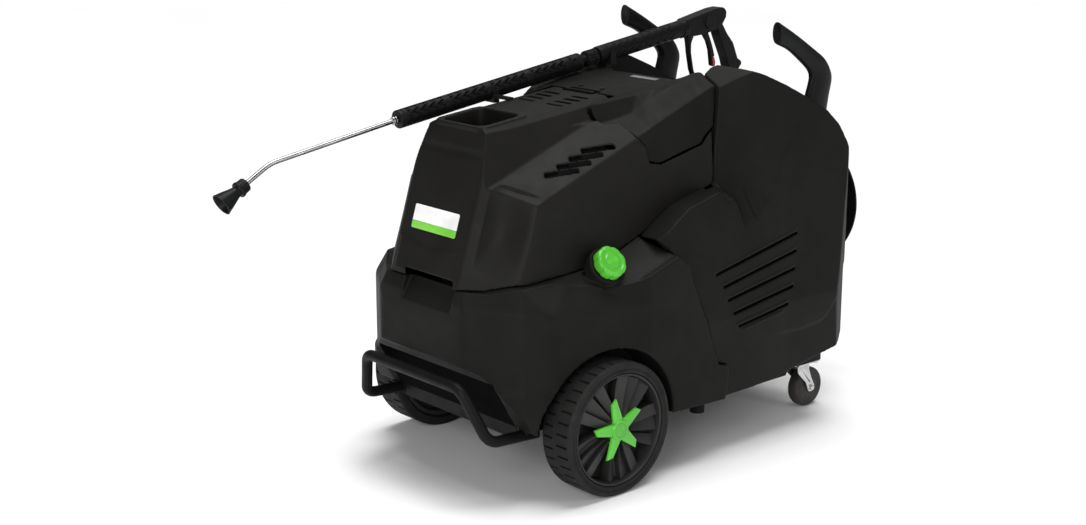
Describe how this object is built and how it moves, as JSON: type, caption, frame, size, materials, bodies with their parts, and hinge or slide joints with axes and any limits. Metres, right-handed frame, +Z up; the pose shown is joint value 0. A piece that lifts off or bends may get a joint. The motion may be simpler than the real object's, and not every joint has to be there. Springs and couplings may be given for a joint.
{
  "type": "mobile hot-water pressure washer",
  "caption": "Wheeled hot-water pressure washer: hinged black hood with exhaust opening, moulded tank base, green-starred wheels, swivel casters, hose reel and stored lance with trigger gun.",
  "frame": {"origin": "middle of the bounding box on the ground, z = 0 at the ground", "axes": "+Z up, the nose points along -Y, +X is the side with the fuel cap"},
  "size_m": [0.7026, 1.716, 0.9766],
  "materials": {
    "cover": "charcoal satin moulded polyethylene",
    "grip_black": "near-black moulded plastic",
    "frame_black": "black powder coat",
    "rim": "dark grey moulded rim",
    "green": "lime green moulded plastic",
    "red": "red moulded plastic",
    "plate": "bare white plate with a lime lower edge",
    "tank_white": "natural white tank plastic",
    "gauge": "gauge glass over a bare white dial",
    "tyre": "black rubber with block tread",
    "rubber_black": "black rubber",
    "caster_grey": "brown-grey rubber",
    "zinc": "zinc-plated steel",
    "steel_tube": "drawn steel tube",
    "steel_sheet": "stainless sheet, heat-tinted round the flue",
    "cast_grey": "grey hammered paint on a casting",
    "motor_grey": "blue-grey motor paint",
    "cast_aluminium": "cast aluminium",
    "brass": "forged brass"
  },
  "bodies": {
    "machine": {"chassis": "frame_black", "front_axle": "zinc", "bumper": "frame_black", "feet": "rubber_black", "caster_plates": "zinc", "screws": "zinc", "base_tank": "cover", "rear_housing": "cover", "console": "cover", "hinge_leaf": "frame_black", "rear_clip": "grip_black", "horn_left": "grip_black", "horn_right": "grip_black", "boiler_shell": "steel_sheet", "boiler_coil": "steel_tube", "boiler_lid": "steel_sheet", "flue_pipe": "steel_sheet", "burner_blower": "cast_grey", "burner_motor": "frame_black", "fuel_pump": "brass", "electric_motor": "motor_grey", "pump_body": "cast_aluminium", "pump_head": "brass", "unloader_valve": "brass", "pressure_pipes": "steel_tube", "float_tank": "tank_white", "electrical_box": "grip_black", "pressure_gauge": "gauge", "water_inlet": "brass", "outlet_nipple": "brass", "cable_gland": "grip_black", "reel_bracket": "frame_black"},
    "hood": {"hood": "cover", "hood_hinge": "frame_black", "name_plate": "plate", "front_clip": "grip_black"},
    "lance": {"nozzle": "grip_black", "lance_tube": "steel_tube", "lance_grip": "grip_black", "coupling_nut": "grip_black", "gun_body": "grip_black"},
    "trigger": {"trigger": "grip_black"},
    "latch": {"trigger_latch": "red"},
    "wheel_left": {"tyre_left": "tyre", "rim_left": "rim", "star_left": "green"},
    "wheel_right": {"tyre_right": "tyre", "rim_right": "rim", "star_right": "green"},
    "fork_left": {"fork_left": "zinc"},
    "fork_right": {"fork_right": "zinc"},
    "caster_wheel_left": {"caster_wheel_left": "caster_grey"},
    "caster_wheel_right": {"caster_wheel_right": "caster_grey"},
    "reel": {"reel_drum": "grip_black", "reel_crank": "frame_black"},
    "main_switch": {"main_switch": "red"},
    "thermostat": {"thermostat_knob": "grip_black"},
    "detergent": {"detergent_knob": "grip_black"},
    "cap_plug": {"cap_plug": "grip_black"},
    "fuel_cap": {"fuel_cap": "green"}
  },
  "joints": [
    {"name": "hood_open", "type": "hinge", "parent": "machine", "child": "hood", "pos_m": [0, 0.013, 0.82498], "axis": [-1, 0, 0], "range_deg": [0, 50]},
    {"name": "lance_lift", "type": "slide", "parent": "machine", "child": "lance", "axis": [0, 0, 1], "range_m": [0, 0.55]},
    {"name": "trigger_pull", "type": "hinge", "parent": "lance", "child": "trigger", "pos_m": [-0.15, 0.57016, 0.91668], "axis": [1, 0, 0], "range_deg": [0, 12], "stiffness_Nm_per_rad": 0.3},
    {"name": "latch_turn", "type": "hinge", "parent": "trigger", "child": "latch", "pos_m": [-0.15, 0.60147, 0.84249], "axis": [1, 0, 0], "range_deg": [0, 20]},
    {"name": "wheel_left_turn", "type": "hinge", "parent": "machine", "child": "wheel_left", "pos_m": [-0.305, -0.182, 0.15], "axis": [1, 0, 0], "continuous": true},
    {"name": "wheel_right_turn", "type": "hinge", "parent": "machine", "child": "wheel_right", "pos_m": [0.305, -0.182, 0.15], "axis": [1, 0, 0], "continuous": true},
    {"name": "fork_left_turn", "type": "hinge", "parent": "machine", "child": "fork_left", "pos_m": [-0.213, 0.55, 0.12], "axis": [0, 0, 1], "continuous": true},
    {"name": "fork_right_turn", "type": "hinge", "parent": "machine", "child": "fork_right", "pos_m": [0.213, 0.55, 0.12], "axis": [0, 0, 1], "continuous": true},
    {"name": "caster_left_turn", "type": "hinge", "parent": "fork_left", "child": "caster_wheel_left", "pos_m": [-0.213, 0.584, 0.05], "axis": [1, 0, 0], "continuous": true},
    {"name": "caster_right_turn", "type": "hinge", "parent": "fork_right", "child": "caster_wheel_right", "pos_m": [0.213, 0.584, 0.05], "axis": [1, 0, 0], "continuous": true},
    {"name": "reel_turn", "type": "hinge", "parent": "machine", "child": "reel", "pos_m": [0, 0.7, 0.466], "axis": [0, 1, 0], "continuous": true},
    {"name": "main_switch_turn", "type": "hinge", "parent": "machine", "child": "main_switch", "pos_m": [-0.07, 0.413, 0.763], "axis": [0, 0.3746, 0.9272], "range_deg": [0, 90]},
    {"name": "thermostat_turn", "type": "hinge", "parent": "machine", "child": "thermostat", "pos_m": [0, 0.413, 0.763], "axis": [0, 0.3746, 0.9272], "range_deg": [0, 270]},
    {"name": "detergent_turn", "type": "hinge", "parent": "machine", "child": "detergent", "pos_m": [0.07, 0.413, 0.763], "axis": [0, 0.3746, 0.9272], "range_deg": [0, 270]},
    {"name": "cap_rise", "type": "slide", "parent": "machine", "child": "cap_plug", "axis": [0.788, 0, 0.6157], "range_m": [0, 0.008]},
    {"name": "cap_turn", "type": "hinge", "parent": "cap_plug", "child": "fuel_cap", "pos_m": [0.275, -0.158, 0.499], "axis": [0.788, 0, 0.6157], "range_deg": [0, 720]}
  ],
  "couplings": [
    {"joint": "lance_lift", "follows": "hood_open", "m_per_rad": 0.6},
    {"joint": "cap_rise", "follows": "cap_turn", "m_per_rad": 0.0006366}
  ]
}
